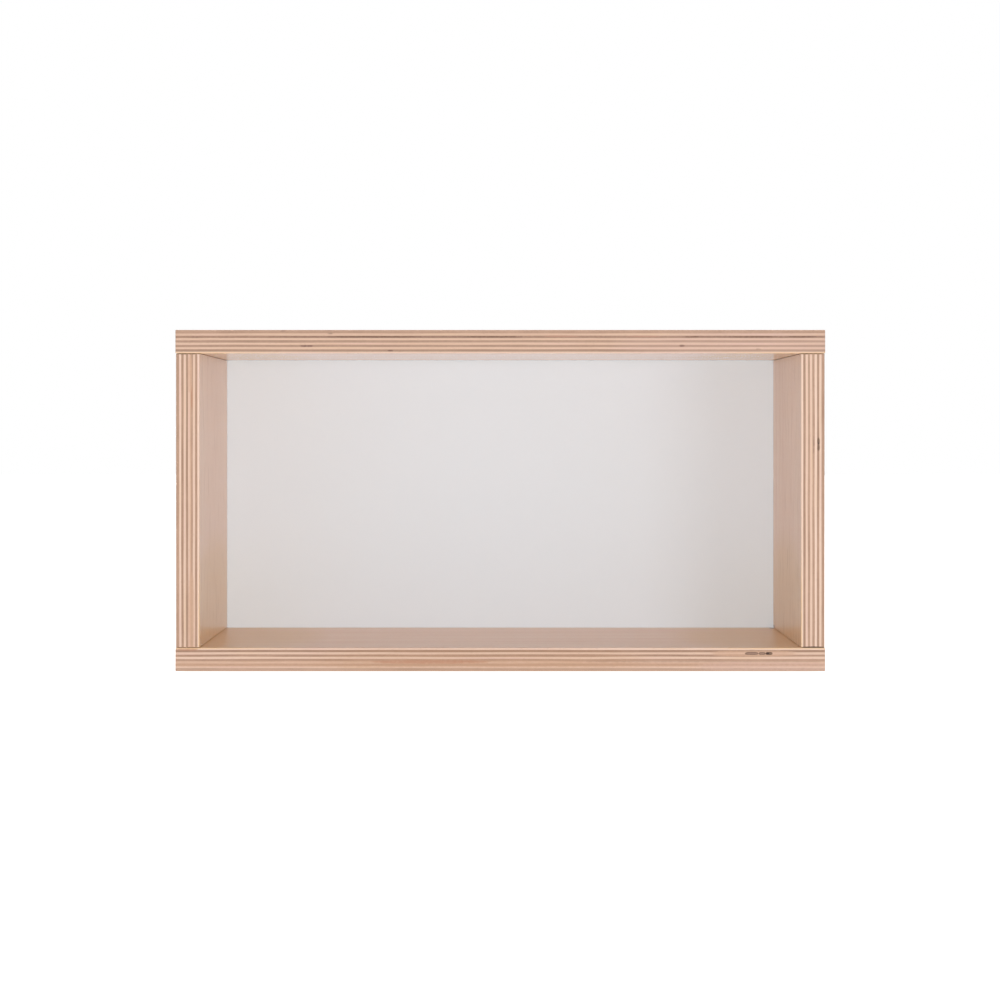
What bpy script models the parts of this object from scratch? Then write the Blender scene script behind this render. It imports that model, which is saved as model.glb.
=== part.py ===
"""Wall-hung box shelf of eleven-ply plywood with a white back panel.

Units are metres and +Z is up. The open front faces -Y, the rear plane at +Y meets the wall,
and the origin is at the middle of the underside.
"""

import math

import bmesh
import bpy
from mathutils import Vector

# Carcass of four plywood boards
WIDTH = 0.415
HEIGHT = 0.218
DEPTH = 0.200
PANEL_THICKNESS = 0.015
SIDE_SETBACK = 0.0004  # the ends of the top and bottom stand this far proud of the sides
ARRIS_RADIUS = 0.0004  # every sawn edge is eased by hand
ARRIS_SEGMENTS = 2
GLUE_GAP = 0.0003  # the glue line between two boards

# White back panel, held in a groove on all four sides
BACK_THICKNESS = 0.004
BACK_TONGUE = 0.0045  # how far the panel enters each groove
GROOVE_SIDE_CLEARANCE = 0.0003
GROOVE_END_CLEARANCE = 0.0005

# Hanging rail behind the back panel, under the top
RAIL_THICKNESS = 0.015
RAIL_HEIGHT = 0.045

# Keyhole hanger plates on the rail
HANGER_INSET = 0.0121  # from each side to its plate, which puts the keyholes 300 mm apart
HANGER_LENGTH = 0.060
HANGER_HEIGHT = 0.026
HANGER_THICKNESS = 0.002
HANGER_CORNER_RADIUS = 0.004
HANGER_SETBACK = 0.0005  # from the rear plane to the plate
KEYHOLE_ENTRY_DIAMETER = 0.010
KEYHOLE_SLOT_WIDTH = 0.005
KEYHOLE_TRAVEL = 0.009  # from the entry's centre up to the slot's end
POCKET_CLEARANCE = 0.001  # round the wall screw's head, behind the plate
POCKET_DEPTH = 0.008

# Countersunk screws that hold the hanger plates
SCREW_INSET = 0.008  # from the plate's end
SCREW_LENGTH = 0.010
SCREW_SHANK_DIAMETER = 0.0034
SCREW_HEAD_DIAMETER = 0.0066
SCREW_HEAD_RIM = 0.0002
SCREW_TIP_LENGTH = 0.003
SCREW_CLEARANCE = 0.0002
SCREW_SINK = 0.0001  # the head lies this far below the plate
RECESS_LENGTH = 0.0038
RECESS_WIDTH = 0.0009
RECESS_DEPTH = 0.0012

# Fluted dowels
DOWEL_FLUTES = 8
DOWEL_FLUTE_DEPTH = 0.0004
DOWEL_CHAMFER = 0.001
DOWEL_CLEARANCE = 0.0002
DOWEL_END_CLEARANCE = 0.0005
CORNER_DOWEL_COUNT = 3
CORNER_DOWEL_DIAMETER = 0.008
CORNER_DOWEL_LENGTH = 0.030
CORNER_DOWEL_COVER = 0.005  # wood left over the blind hole in the top or bottom
CORNER_DOWEL_INSET = 0.030  # from the front edge, and from the back panel
RAIL_DOWEL_DIAMETER = 0.006
RAIL_DOWEL_LENGTH = 0.024
RAIL_DOWEL_COVER = 0.006  # wood left over the blind hole in the side
RAIL_DOWEL_INSET = 0.011  # from the rail's upper and lower edges

ROUND_SEGMENTS = 16
FLUTE_SEGMENTS = 3  # two points on each crest of a dowel and one in each flute
ARC_STEPS = 6
SHARP_ANGLE = math.radians(40)  # steeper edges stay crisp on round pieces
CUTTER_OVERRUN = 0.002  # how far a cutter passes the face that it opens

# Finishes: base colour, roughness, metallic
PLYWOOD = ("plywood", (0.60, 0.41, 0.29, 1.0), 0.55, 0.0)
WHITE_FACING = ("white_facing", (0.80, 0.79, 0.78, 1.0), 0.35, 0.0)
DOWEL_WOOD = ("dowel_wood", (0.62, 0.42, 0.27, 1.0), 0.65, 0.0)
ZINC_STEEL = ("zinc_steel", (0.58, 0.59, 0.60, 1.0), 0.35, 1.0)

# Planes worked out from the sizes above
FRONT = -DEPTH / 2
REAR = DEPTH / 2
SIDE_OUTER = WIDTH / 2 - SIDE_SETBACK
SIDE_INNER = SIDE_OUTER - PANEL_THICKNESS
INNER_FLOOR = PANEL_THICKNESS
INNER_CEILING = HEIGHT - PANEL_THICKNESS
HANGER_REAR = REAR - HANGER_SETBACK
HANGER_FRONT = HANGER_REAR - HANGER_THICKNESS
RAIL_REAR = HANGER_FRONT - GLUE_GAP
RAIL_FRONT = RAIL_REAR - RAIL_THICKNESS
BACK_REAR = RAIL_FRONT - GLUE_GAP
BACK_FRONT = BACK_REAR - BACK_THICKNESS
RAIL_TOP = INNER_CEILING - GLUE_GAP
RAIL_BOTTOM = RAIL_TOP - RAIL_HEIGHT
HANGER_REACH = SIDE_INNER - HANGER_INSET - HANGER_LENGTH / 2
HANGER_MIDDLE = (RAIL_TOP + RAIL_BOTTOM) / 2
KEYHOLE_ENTRY = HANGER_MIDDLE - KEYHOLE_TRAVEL / 2
KEYHOLE_END = HANGER_MIDDLE + KEYHOLE_TRAVEL / 2

SIDES = {"left": -1, "right": 1}


def clear_scene():
    for obj in list(bpy.data.objects):
        bpy.data.objects.remove(obj)


def new_collection(name):
    collection = bpy.data.collections.new(name)
    bpy.context.scene.collection.children.link(collection)
    return collection


def finish(name, colour, roughness, metallic):
    """The Principled material of that name, made on its first use."""
    if name in bpy.data.materials:
        return bpy.data.materials[name]
    material = bpy.data.materials.new(name)
    material.use_nodes = True
    shader = material.node_tree.nodes["Principled BSDF"]
    shader.inputs["Base Color"].default_value = colour
    shader.inputs["Roughness"].default_value = roughness
    shader.inputs["Metallic"].default_value = metallic
    material.diffuse_color = colour
    return material


def add_part(name, mesh, look, location=(0, 0, 0), rotation=(0, 0, 0)):
    """A visible piece of the shelf, parented to the shelf's empty."""
    part = bpy.data.objects.new(name, mesh)
    part.location = location
    part.rotation_euler = rotation
    part.parent = bpy.data.objects["shelf"]
    mesh.materials.append(finish(*look))
    bpy.data.collections["box_shelf"].objects.link(part)
    return part


def add_cutter(name, mesh, location=(0, 0, 0), rotation=(0, 0, 0)):
    """A shape that is only subtracted from others."""
    cutter = bpy.data.objects.new(name, mesh)
    cutter.location = location
    cutter.rotation_euler = rotation
    cutter.hide_render = True
    cutter.display_type = "WIRE"
    bpy.data.collections["cutters"].objects.link(cutter)
    return cutter


def cut(cutter, *parts):
    """The cutter's shape taken out of each part."""
    for part in parts:
        boolean = part.modifiers.new(cutter.name, "BOOLEAN")
        boolean.operation = "DIFFERENCE"
        boolean.object = cutter


def ease_edges(part):
    bevel = part.modifiers.new("arris", "BEVEL")
    bevel.width = ARRIS_RADIUS
    bevel.segments = ARRIS_SEGMENTS


def shade_round(mesh):
    mesh.shade_smooth()
    mesh.set_sharp_from_angle(angle=SHARP_ANGLE)


def box_mesh(name, size):
    """A box about its own centre."""
    mesh = bpy.data.meshes.new(name)
    shape = bmesh.new()
    bmesh.ops.create_cube(shape, size=1)
    bmesh.ops.scale(shape, vec=size, verts=shape.verts)
    shape.to_mesh(mesh)
    shape.free()
    return mesh


def add_board(name, low, high, look=PLYWOOD):
    """A flat piece between two corners."""
    low = Vector(low)
    high = Vector(high)
    return add_part(name, box_mesh(name, high - low), look, (low + high) / 2)


def rod_cutter(name, start, end, radius):
    """A round cutter from one point to another."""
    axis = Vector(end) - Vector(start)
    mesh = bpy.data.meshes.new(name)
    shape = bmesh.new()
    bmesh.ops.create_cone(
        shape,
        cap_ends=True,
        segments=ROUND_SEGMENTS,
        radius1=radius,
        radius2=radius,
        depth=axis.length,
    )
    shape.to_mesh(mesh)
    shape.free()
    shade_round(mesh)
    middle = (Vector(start) + Vector(end)) / 2
    return add_cutter(name, mesh, middle, axis.to_track_quat("Z", "Y").to_euler())


def arc(centre, radius, start, end, steps=ARC_STEPS):
    """Points along an arc in a plane, with its angles in degrees."""
    turns = [math.radians(start + (end - start) * step / steps) for step in range(steps + 1)]
    return [(centre[0] + radius * math.cos(t), centre[1] + radius * math.sin(t)) for t in turns]


def rounded_rectangle(width, height, radius):
    across = width / 2 - radius
    up = height / 2 - radius
    corners = ((across, up), (-across, up), (-across, -up), (across, -up))
    outline = []
    for quarter, centre in enumerate(corners):
        outline += arc(centre, radius, 90 * quarter, 90 * quarter + 90)
    return outline


def keyhole_outline():
    """The entry hole with its narrow slot running up from it, about the plate's middle."""
    entry_radius = KEYHOLE_ENTRY_DIAMETER / 2
    slot_radius = KEYHOLE_SLOT_WIDTH / 2
    mouth = math.degrees(math.asin(slot_radius / entry_radius))
    entry = arc((0, KEYHOLE_ENTRY - HANGER_MIDDLE), entry_radius, 90 + mouth, 450 - mouth, 2 * ARC_STEPS)
    return entry + arc((0, KEYHOLE_END - HANGER_MIDDLE), slot_radius, 0, 180)


def pocket_outline():
    """A long hole with round ends, wide enough for the wall screw's head to slide up."""
    radius = KEYHOLE_ENTRY_DIAMETER / 2 + POCKET_CLEARANCE
    lower = arc((0, KEYHOLE_ENTRY - HANGER_MIDDLE), radius, 180, 360)
    return lower + arc((0, KEYHOLE_END - HANGER_MIDDLE), radius, 0, 180)


def plate_mesh(name, outlines, thickness):
    """A flat plate from its outer outline and its holes, in X and Y about its own middle plane."""
    curve = bpy.data.curves.new(name, "CURVE")
    curve.dimensions = "2D"
    curve.fill_mode = "BOTH"
    curve.extrude = thickness / 2
    for outline in outlines:
        spline = curve.splines.new("POLY")
        spline.points.add(len(outline) - 1)
        for point, (x, y) in zip(spline.points, outline):
            point.co = (x, y, 0, 1)
        spline.use_cyclic_u = True
    drawn = bpy.data.objects.new(name, curve)
    bpy.context.scene.collection.objects.link(drawn)
    graph = bpy.context.evaluated_depsgraph_get()
    mesh = bpy.data.meshes.new_from_object(drawn.evaluated_get(graph))
    bpy.data.objects.remove(drawn)
    bpy.data.curves.remove(curve)
    shape = bmesh.new()
    shape.from_mesh(mesh)
    bmesh.ops.remove_doubles(shape, verts=shape.verts, dist=1e-6)
    bmesh.ops.recalc_face_normals(shape, faces=shape.faces)
    shape.to_mesh(mesh)
    shape.free()
    return mesh


def turned_mesh(name, profile):
    """The edge chain of a turned shape in X and Z, from the top of its axis to the bottom."""
    mesh = bpy.data.meshes.new(name)
    points = [(x, 0, z) for x, z in profile]
    mesh.from_pydata(points, [(i, i + 1) for i in range(len(points) - 1)], [])
    return mesh


def turn(part):
    screw = part.modifiers.new("turn", "SCREW")
    screw.steps = ROUND_SEGMENTS
    screw.render_steps = ROUND_SEGMENTS
    screw.use_merge_vertices = True
    screw.merge_threshold = 1e-5
    screw.use_smooth_shade = True


def dowel_mesh(name, diameter, length):
    """A fluted dowel along Z, with a chamfer at each end."""
    points = FLUTE_SEGMENTS * DOWEL_FLUTES
    radius = diameter / 2
    mesh = bpy.data.meshes.new(name)
    shape = bmesh.new()
    bmesh.ops.create_cone(
        shape,
        cap_ends=True,
        segments=points,
        radius1=radius,
        radius2=radius,
        depth=length - 2 * DOWEL_CHAMFER,
    )
    for vert in shape.verts:
        step = round(math.atan2(vert.co.y, vert.co.x) / (2 * math.pi / points))
        if step % FLUTE_SEGMENTS == 0:
            vert.co.xy *= 1 - DOWEL_FLUTE_DEPTH / radius
    caps = [face for face in shape.faces if len(face.verts) == points]
    for cap in bmesh.ops.extrude_discrete_faces(shape, faces=caps)["faces"]:
        rise = math.copysign(DOWEL_CHAMFER, cap.calc_center_median().z)
        for vert in cap.verts:
            vert.co.xy *= 1 - DOWEL_CHAMFER / radius
            vert.co.z += rise
    shape.to_mesh(mesh)
    shape.free()
    shade_round(mesh)
    return mesh


def add_dowel(name, start, end, diameter):
    """A dowel from one point to another, and the cutter for its two blind holes."""
    along = (Vector(end) - Vector(start)).normalized()
    middle = (Vector(start) + Vector(end)) / 2
    length = (Vector(end) - Vector(start)).length
    rotation = along.to_track_quat("Z", "Y").to_euler()
    add_part(name, dowel_mesh(name, diameter, length), DOWEL_WOOD, middle, rotation)
    slack = along * DOWEL_END_CLEARANCE
    return rod_cutter(f"{name}_hole", start - slack, end + slack, diameter / 2 + DOWEL_CLEARANCE)


def spread(first, last, count):
    """Evenly spaced places from first to last."""
    return [first + (last - first) * i / (count - 1) for i in range(count)]


def build_carcass():
    """The four boards, as yet without their grooves and holes."""
    half = WIDTH / 2
    boards = {
        "bottom": add_board("bottom_panel", (-half, FRONT, 0), (half, REAR, INNER_FLOOR)),
        "top": add_board("top_panel", (-half, FRONT, INNER_CEILING), (half, REAR, HEIGHT)),
    }
    low = INNER_FLOOR + GLUE_GAP
    high = INNER_CEILING - GLUE_GAP
    for side, sign in SIDES.items():
        near, far = sorted((sign * SIDE_INNER, sign * SIDE_OUTER))
        boards[side] = add_board(f"{side}_side", (near, FRONT, low), (far, REAR, high))
    for board in boards.values():
        ease_edges(board)
    return boards


def build_back(boards):
    """The white back panel, and the groove that holds it in each board."""
    reach = SIDE_INNER + BACK_TONGUE
    low = INNER_FLOOR - BACK_TONGUE
    high = INNER_CEILING + BACK_TONGUE
    add_board("back_panel", (-reach, BACK_FRONT, low), (reach, BACK_REAR, high), WHITE_FACING)
    size = Vector((2 * reach, BACK_THICKNESS, high - low))
    slack = 2 * Vector((GROOVE_END_CLEARANCE, GROOVE_SIDE_CLEARANCE, GROOVE_END_CLEARANCE))
    middle = (0, (BACK_FRONT + BACK_REAR) / 2, (low + high) / 2)
    groove = add_cutter("groove", box_mesh("groove", size + slack), middle)
    cut(groove, *boards.values())


def build_corner_dowels(boards):
    """Three dowels in each corner, standing in the side and reaching into the top or bottom."""
    first = FRONT + CORNER_DOWEL_INSET
    last = BACK_FRONT - CORNER_DOWEL_INSET
    places = spread(first, last, CORNER_DOWEL_COUNT)
    tip = CORNER_DOWEL_COVER + DOWEL_END_CLEARANCE
    for side, sign in SIDES.items():
        x = sign * (SIDE_OUTER + SIDE_INNER) / 2
        for level, height, down in (("top", HEIGHT - tip, -1), ("bottom", tip, 1)):
            for number, y in enumerate(places, 1):
                start = Vector((x, y, height))
                end = start + Vector((0, 0, down * CORNER_DOWEL_LENGTH))
                hole = add_dowel(f"dowel_{level}_{side}_{number}", start, end, CORNER_DOWEL_DIAMETER)
                cut(hole, boards[side], boards[level])


def build_rail(boards):
    """The hanging rail, and the dowels that hold its ends in the sides."""
    reach = SIDE_INNER - GLUE_GAP
    rail = add_board("hanging_rail", (-reach, RAIL_FRONT, RAIL_BOTTOM), (reach, RAIL_REAR, RAIL_TOP))
    ease_edges(rail)
    y = (RAIL_FRONT + RAIL_REAR) / 2
    heights = {"upper": RAIL_TOP - RAIL_DOWEL_INSET, "lower": RAIL_BOTTOM + RAIL_DOWEL_INSET}
    tip = SIDE_OUTER - RAIL_DOWEL_COVER - DOWEL_END_CLEARANCE
    for side, sign in SIDES.items():
        for level, z in heights.items():
            start = Vector((sign * tip, y, z))
            end = start - Vector((sign * RAIL_DOWEL_LENGTH, 0, 0))
            hole = add_dowel(f"rail_dowel_{side}_{level}", start, end, RAIL_DOWEL_DIAMETER)
            cut(hole, rail, boards[side])
    return rail


def screw_profile(slack=0.0, rise=0.0):
    """A countersunk screw below its head's flat, or, with slack and a rise above it, its hole."""
    shank = SCREW_SHANK_DIAMETER / 2 + slack
    head = SCREW_HEAD_DIAMETER / 2 + slack
    seat = -SCREW_HEAD_RIM - (head - shank)
    tip = -SCREW_LENGTH - slack
    return [
        (0, rise),
        (head, rise),
        (head, -SCREW_HEAD_RIM),
        (shank, seat),
        (shank, tip + SCREW_TIP_LENGTH),
        (0, tip),
    ]


def add_screw(name, x, plate, rail):
    """A screw with a cross recess, and its hole through the plate and into the rail."""
    rearward = (-math.pi / 2, 0, 0)
    head = (x, HANGER_REAR - SCREW_SINK, HANGER_MIDDLE)
    screw = add_part(name, turned_mesh(name, screw_profile()), ZINC_STEEL, head, rearward)
    turn(screw)
    for label, angle in (("a", math.pi / 4), ("b", -math.pi / 4)):
        bar = box_mesh(f"{name}_recess_{label}", (RECESS_LENGTH, RECESS_WIDTH, 2 * RECESS_DEPTH))
        cut(add_cutter(bar.name, bar, head, (-math.pi / 2, angle, 0)), screw)
    opened = turned_mesh(f"{name}_hole", screw_profile(SCREW_CLEARANCE, CUTTER_OVERRUN))
    hole = add_cutter(opened.name, opened, head, rearward)
    turn(hole)
    cut(hole, plate, rail)


def build_hanger(side, sign, rail):
    """One keyhole plate with its two screws, and the pocket behind its keyhole."""
    x = sign * HANGER_REACH
    upright = (math.pi / 2, 0, 0)
    outline = rounded_rectangle(HANGER_LENGTH, HANGER_HEIGHT, HANGER_CORNER_RADIUS)
    mesh = plate_mesh(f"{side}_hanger_plate", [outline, keyhole_outline()], HANGER_THICKNESS)
    middle = (x, (HANGER_FRONT + HANGER_REAR) / 2, HANGER_MIDDLE)
    plate = add_part(mesh.name, mesh, ZINC_STEEL, middle, upright)
    for place, step in (("outer", sign), ("inner", -sign)):
        screw_x = x + step * (HANGER_LENGTH / 2 - SCREW_INSET)
        add_screw(f"{side}_hanger_screw_{place}", screw_x, plate, rail)
    depth = POCKET_DEPTH + CUTTER_OVERRUN
    pocket = plate_mesh(f"{side}_pocket", [pocket_outline()], depth)
    pocket_middle = (x, RAIL_REAR + CUTTER_OVERRUN - depth / 2, HANGER_MIDDLE)
    cut(add_cutter(pocket.name, pocket, pocket_middle, upright), rail)


def main():
    clear_scene()
    new_collection("box_shelf")
    new_collection("cutters")
    shelf = bpy.data.objects.new("shelf", None)
    bpy.data.collections["box_shelf"].objects.link(shelf)
    boards = build_carcass()
    build_back(boards)
    build_corner_dowels(boards)
    rail = build_rail(boards)
    for side, sign in SIDES.items():
        build_hanger(side, sign, rail)


main()
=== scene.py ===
# %% [markdown]
# # A plywood box shelf with a white back
#
# The shelf is already constructed before this lesson starts: four boards, a back panel, a hanging
# rail, dowels, two hanger plates and their screws, each at its real size. This script gives those
# pieces their looks, and it never moves or resizes them. We load the construction first and keep
# its outer box, so that at the end we can print it beside the box of the dressed shelf.

# %% Load the construction
import math
from collections import namedtuple

import bmesh
import bpy
from mathutils import Matrix, Vector


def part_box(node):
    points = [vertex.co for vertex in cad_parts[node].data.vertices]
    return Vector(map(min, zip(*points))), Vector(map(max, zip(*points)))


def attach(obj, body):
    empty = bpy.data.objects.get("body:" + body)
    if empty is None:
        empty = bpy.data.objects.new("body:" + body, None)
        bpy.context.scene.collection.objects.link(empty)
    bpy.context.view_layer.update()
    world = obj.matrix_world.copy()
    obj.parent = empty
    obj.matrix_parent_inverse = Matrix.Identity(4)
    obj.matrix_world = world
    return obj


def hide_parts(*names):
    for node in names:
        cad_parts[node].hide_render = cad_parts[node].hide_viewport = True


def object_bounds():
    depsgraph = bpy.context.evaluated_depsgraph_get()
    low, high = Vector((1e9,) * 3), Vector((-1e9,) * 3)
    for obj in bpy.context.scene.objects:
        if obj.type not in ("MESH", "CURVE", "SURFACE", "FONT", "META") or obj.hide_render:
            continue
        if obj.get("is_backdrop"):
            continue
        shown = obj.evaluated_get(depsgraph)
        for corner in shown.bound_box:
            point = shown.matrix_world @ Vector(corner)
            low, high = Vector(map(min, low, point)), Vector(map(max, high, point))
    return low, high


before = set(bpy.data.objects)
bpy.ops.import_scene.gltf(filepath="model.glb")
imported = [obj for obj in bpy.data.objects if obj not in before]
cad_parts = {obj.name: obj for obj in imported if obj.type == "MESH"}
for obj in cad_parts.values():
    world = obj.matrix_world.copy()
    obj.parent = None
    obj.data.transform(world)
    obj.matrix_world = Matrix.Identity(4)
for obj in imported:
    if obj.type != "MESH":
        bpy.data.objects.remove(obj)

MM = 0.001
X, Y, Z = range(3)
scene = bpy.context.scene
construction_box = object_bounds()
front = construction_box[0][Y]
print("construction:", len(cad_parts), "nodes, from", construction_box[0], "to", construction_box[1])

# %% [markdown]
# ## Sums on sockets
#
# Blender's materials and its Geometry Nodes are both trees of nodes, and both would be long to write
# one link at a time. A small class wraps a socket instead: `1 - mask * 2` then adds the Math nodes
# for that sum by itself. Every other kind of node comes from one method, which sets the node's
# settings first, because they decide which sockets it has, and then fills its sockets. A second
# one, `then`, also links the term to the first socket, and brackets pick another output of a node.

# %% A socket that takes part in sums
def fill(node, values):
    """Set or link sockets of a node. A list links several terms to one socket."""
    for name, value in values.items():
        for one in value if isinstance(value, list) else [value]:
            if isinstance(one, Term):
                one.tree.links.new(one.socket, node.inputs[name])
            else:
                node.inputs[name].default_value = one


def both_ways(operation):
    """An operator's method, and its reflected form for a plain number on the left."""
    return (
        lambda self, other: self.sum(operation, self, other),
        lambda self, other: self.sum(operation, other, self),
    )


class Term:
    """One output socket of a node tree."""

    def __init__(self, tree, socket=None):
        self.tree = tree
        self.socket = socket

    def node(self, kind, settings=None, values=None, output=0):
        """Add a node of any kind and return one of its outputs."""
        made = self.tree.nodes.new(kind)
        for name, setting in (settings or {}).items():
            setattr(made, name, setting)
        fill(made, values or {})
        return Term(self.tree, made.outputs[output] if made.outputs else None)

    def then(self, kind, settings=None, values=None):
        """Add a node that takes this term in its first socket."""
        return self.node(kind, settings, {0: self, **(values or {})})

    def __getitem__(self, output):
        """Another output of the same node."""
        return Term(self.tree, self.socket.node.outputs[output])

    def sum(self, operation, *values):
        """A Math node on these values."""
        return self.node("ShaderNodeMath", {"operation": operation}, dict(enumerate(values)))

    __add__, __radd__ = both_ways("ADD")
    __sub__, __rsub__ = both_ways("SUBTRACT")
    __mul__, __rmul__ = both_ways("MULTIPLY")
    __truediv__, __rtruediv__ = both_ways("DIVIDE")
    __mod__, __rmod__ = both_ways("MODULO")

    def __abs__(self):
        return self.sum("ABSOLUTE", self)

    def smooth(self, low, high):
        """0 at low and 1 at high, with a soft start and end."""
        values = {"From Min": low, "From Max": high}
        return self.then("ShaderNodeMapRange", {"interpolation_type": "SMOOTHSTEP"}, values)

    def split(self):
        """The X, Y and Z of a vector."""
        parts = self.then("ShaderNodeSeparateXYZ")
        return [parts[axis] for axis in range(3)]


def join(x, y, z):
    """Three values as one vector. The first is always a term."""
    return x.node("ShaderNodeCombineXYZ", values={X: x, Y: y, Z: z})


def noise(place, detail=2.0):
    """Cloudy noise from 0 to 1 at a place that is already stretched to size."""
    return place.then("ShaderNodeTexNoise", values={"Scale": 1.0, "Detail": detail})


def mix(factor, first, second):
    """A colour between two colours. Three plain numbers stand for a colour too."""
    colours = [one if isinstance(one, Term) else (*one, 1.0) for one in (first, second)]
    # A Mix node takes colours in its sockets 6 and 7 and gives the mixed one at output 2.
    return factor.then("ShaderNodeMix", {"data_type": "RGBA"}, {6: colours[0], 7: colours[1]})[2]


print("sums ready:", [name for name in vars(Term) if not name.startswith("__")])

# %% [markdown]
# ## The boards and their plies
#
# Each board is eleven-ply beech: thin sheets peeled from a log, glued with the grain of every second
# sheet turned by a right angle, pressed, sawn and sanded. The sander leaves a thin skin of the outer
# ply, a little more or less on each board. We describe a board by the axis its face grain follows, the
# axis across it and the axis of its thickness, and measure everything else on the construction.

# %% Five boards, measured on the construction
CORE_PLY = 1.455 * MM
LAST_PLY = 10
GLUE_LINE = 0.2 * MM
LEVEL = ("bottom_panel", "top_panel")
UPRIGHT = ("left_side", "right_side")
# butts: the boards that its ends meet. skin: what the sander left of the outer ply. tone: paler or
# deeper than usual. figure: how strongly the grain of its faces stands out. gloss: how much smoother
# its inner face is than its edges. seed: where its patterns start.
Board = namedtuple("Board", "node piece long wide thick outward butts skin tone figure gloss seed")
BOARDS = [
    Board("top_panel", "top_board", X, Y, Z, 1, None, 0.76 * MM, -0.24, 1.0, 0.44, 1.7),
    Board("bottom_panel", "bottom_board", X, Y, Z, -1, None, 0.55 * MM, 0.07, 2.2, 0.28, 4.1),
    Board("left_side", "left_board", Z, Y, X, -1, LEVEL, 0.55 * MM, 0.22, 0.60, 0.32, 7.9),
    Board("right_side", "right_board", Z, Y, X, 1, LEVEL, 0.53 * MM, 0.31, 1.8, 0.31, 9.3),
    Board("hanging_rail", "rail_board", X, Z, Y, 1, UPRIGHT, 0.65 * MM, 0.0, 1.0, 0.10, 12.2),
]


def outer_plane(board):
    """Where the board's outer face lies on the axis of its thickness."""
    low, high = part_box(board.node)
    return high[board.thick] if board.outward > 0 else low[board.thick]


def thickness(board):
    low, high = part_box(board.node)
    return high[board.thick] - low[board.thick]


def ends_of(board):
    """The two ends along the grain. A butted end comes up to its neighbour, but for the glue."""
    low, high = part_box(board.node)
    if board.butts is None:
        return low[board.long], high[board.long]
    before, after = [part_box(neighbour) for neighbour in board.butts]
    return before[1][board.long] + GLUE_LINE, after[0][board.long] - GLUE_LINE


for board in BOARDS:
    ends = [round(end / MM, 2) for end in ends_of(board)]
    print(board.node, "is", round(thickness(board) / MM, 2), "mm thick and runs between", ends, "mm")

# %% [markdown]
# ## Pressing a board with Geometry Nodes
#
# A board could be a box with a bevel, but its edge is where plywood shows what it is: the plies
# stray a little, the glue lines are fine grooves, and end grain sands lower than long grain.
# That is a rule, so Geometry Nodes make the board. We draw the outline of the face once, and the
# profile of the edge once, from the outer arris down to the inner one. The tree then extrudes
# the outline ring by ring and sets each ring to its inset and depth.

# %% The outline of a face
CORNER_RADIUS = 0.5 * MM
CORNER_STEPS = 4
OUTLINE_STEP = 4 * MM


def shape_mesh(name, shape):
    """A bmesh as a mesh. The bmesh is freed."""
    mesh = bpy.data.meshes.new(name)
    shape.to_mesh(mesh)
    shape.free()
    return mesh


def outline_mesh(board):
    """One face with a point every few millimetres. Each point knows which way is out."""
    low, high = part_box(board.node)
    across = ends_of(board)
    up = (low[board.wide], high[board.wide])
    corners = [(1, 1), (0, 1), (0, 0), (1, 0)]
    points = []
    for turn, (right, top) in enumerate(corners):
        centre = Vector((across[right], up[top]))
        centre -= CORNER_RADIUS * Vector((2 * right - 1, 2 * top - 1))
        for step in range(CORNER_STEPS + 1):
            angle = math.pi / 2 * (turn + step / CORNER_STEPS)
            out = Vector((math.cos(angle), math.sin(angle)))
            points.append((centre + CORNER_RADIUS * out, out))
        side = up if turn % 2 else across
        run = side[1] - side[0] - 2 * CORNER_RADIUS
        along = Vector((-out.y, out.x))
        start = points[-1][0]
        count = round(run / OUTLINE_STEP)
        points += [(start + along * run * step / count, out) for step in range(1, count)]
    shape = bmesh.new()
    outward = shape.verts.layers.float_vector.new("outward")
    for place, out in points:
        corner = shape.verts.new((*place, 0.0))
        corner[outward] = (*out, 0.0)
    shape.faces.new(shape.verts)
    return shape_mesh("outline", shape)


print("outline of the top:", len(outline_mesh(BOARDS[0]).vertices), "points")

# %% The profile of an edge
ARRIS_RADIUS = 0.4 * MM
ARRIS_STEPS = 4
GLUE_GROOVE = 0.05 * MM


def edge_profile(depth, skin):
    """Points down the edge as (inset, 1 on a cross ply, depth below the outer face)."""
    arris = [math.pi / 2 * step / ARRIS_STEPS for step in range(ARRIS_STEPS + 1)]
    curve = [(ARRIS_RADIUS * (1 - math.sin(a)), ARRIS_RADIUS * (1 - math.cos(a))) for a in arris]
    points = [(inset, 0.0, down) for inset, down in curve]
    for ply in range(1, LAST_PLY + 1):
        joint = skin + (ply - 1) * CORE_PLY
        above, below = (ply - 1) % 2, ply % 2
        points.append((0.0, above, max(joint - GLUE_GROOVE, ARRIS_RADIUS)))
        points.append((GLUE_GROOVE, 0.5, joint))
        points.append((0.0, below, joint + GLUE_GROOVE))
    points += [(inset, 0.0, depth - down) for inset, down in reversed(curve)]
    return points


def profile_object(points):
    """A helper object that only holds the points, for the tree to read by their number."""
    mesh = bpy.data.meshes.new("edge_profile")
    mesh.from_pydata(points, [], [])
    return bpy.data.objects.new("edge_profile", mesh)


print("edge of a board:", len(edge_profile(thickness(BOARDS[0]), BOARDS[0].skin)), "rings")

# %% Helpers that open, close and run a tree
def open_tree(name, inputs):
    """A new Geometry Nodes tree with named inputs, and its input node as a term."""
    tree = bpy.data.node_groups.new(name, "GeometryNodeTree")
    for title, kind in {"Geometry": "Geometry", **inputs}.items():
        tree.interface.new_socket(title, in_out="INPUT", socket_type=f"NodeSocket{kind}")
    tree.interface.new_socket("Geometry", in_out="OUTPUT", socket_type="NodeSocketGeometry")
    return tree, Term(tree).node("NodeGroupInput")


def close_tree(result, finish):
    """The end of every tree: real geometry with its material."""
    real = result.then("GeometryNodeRealizeInstances")
    real.then("GeometryNodeSetMaterial", values={"Material": finish}).then("NodeGroupOutput")


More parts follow.
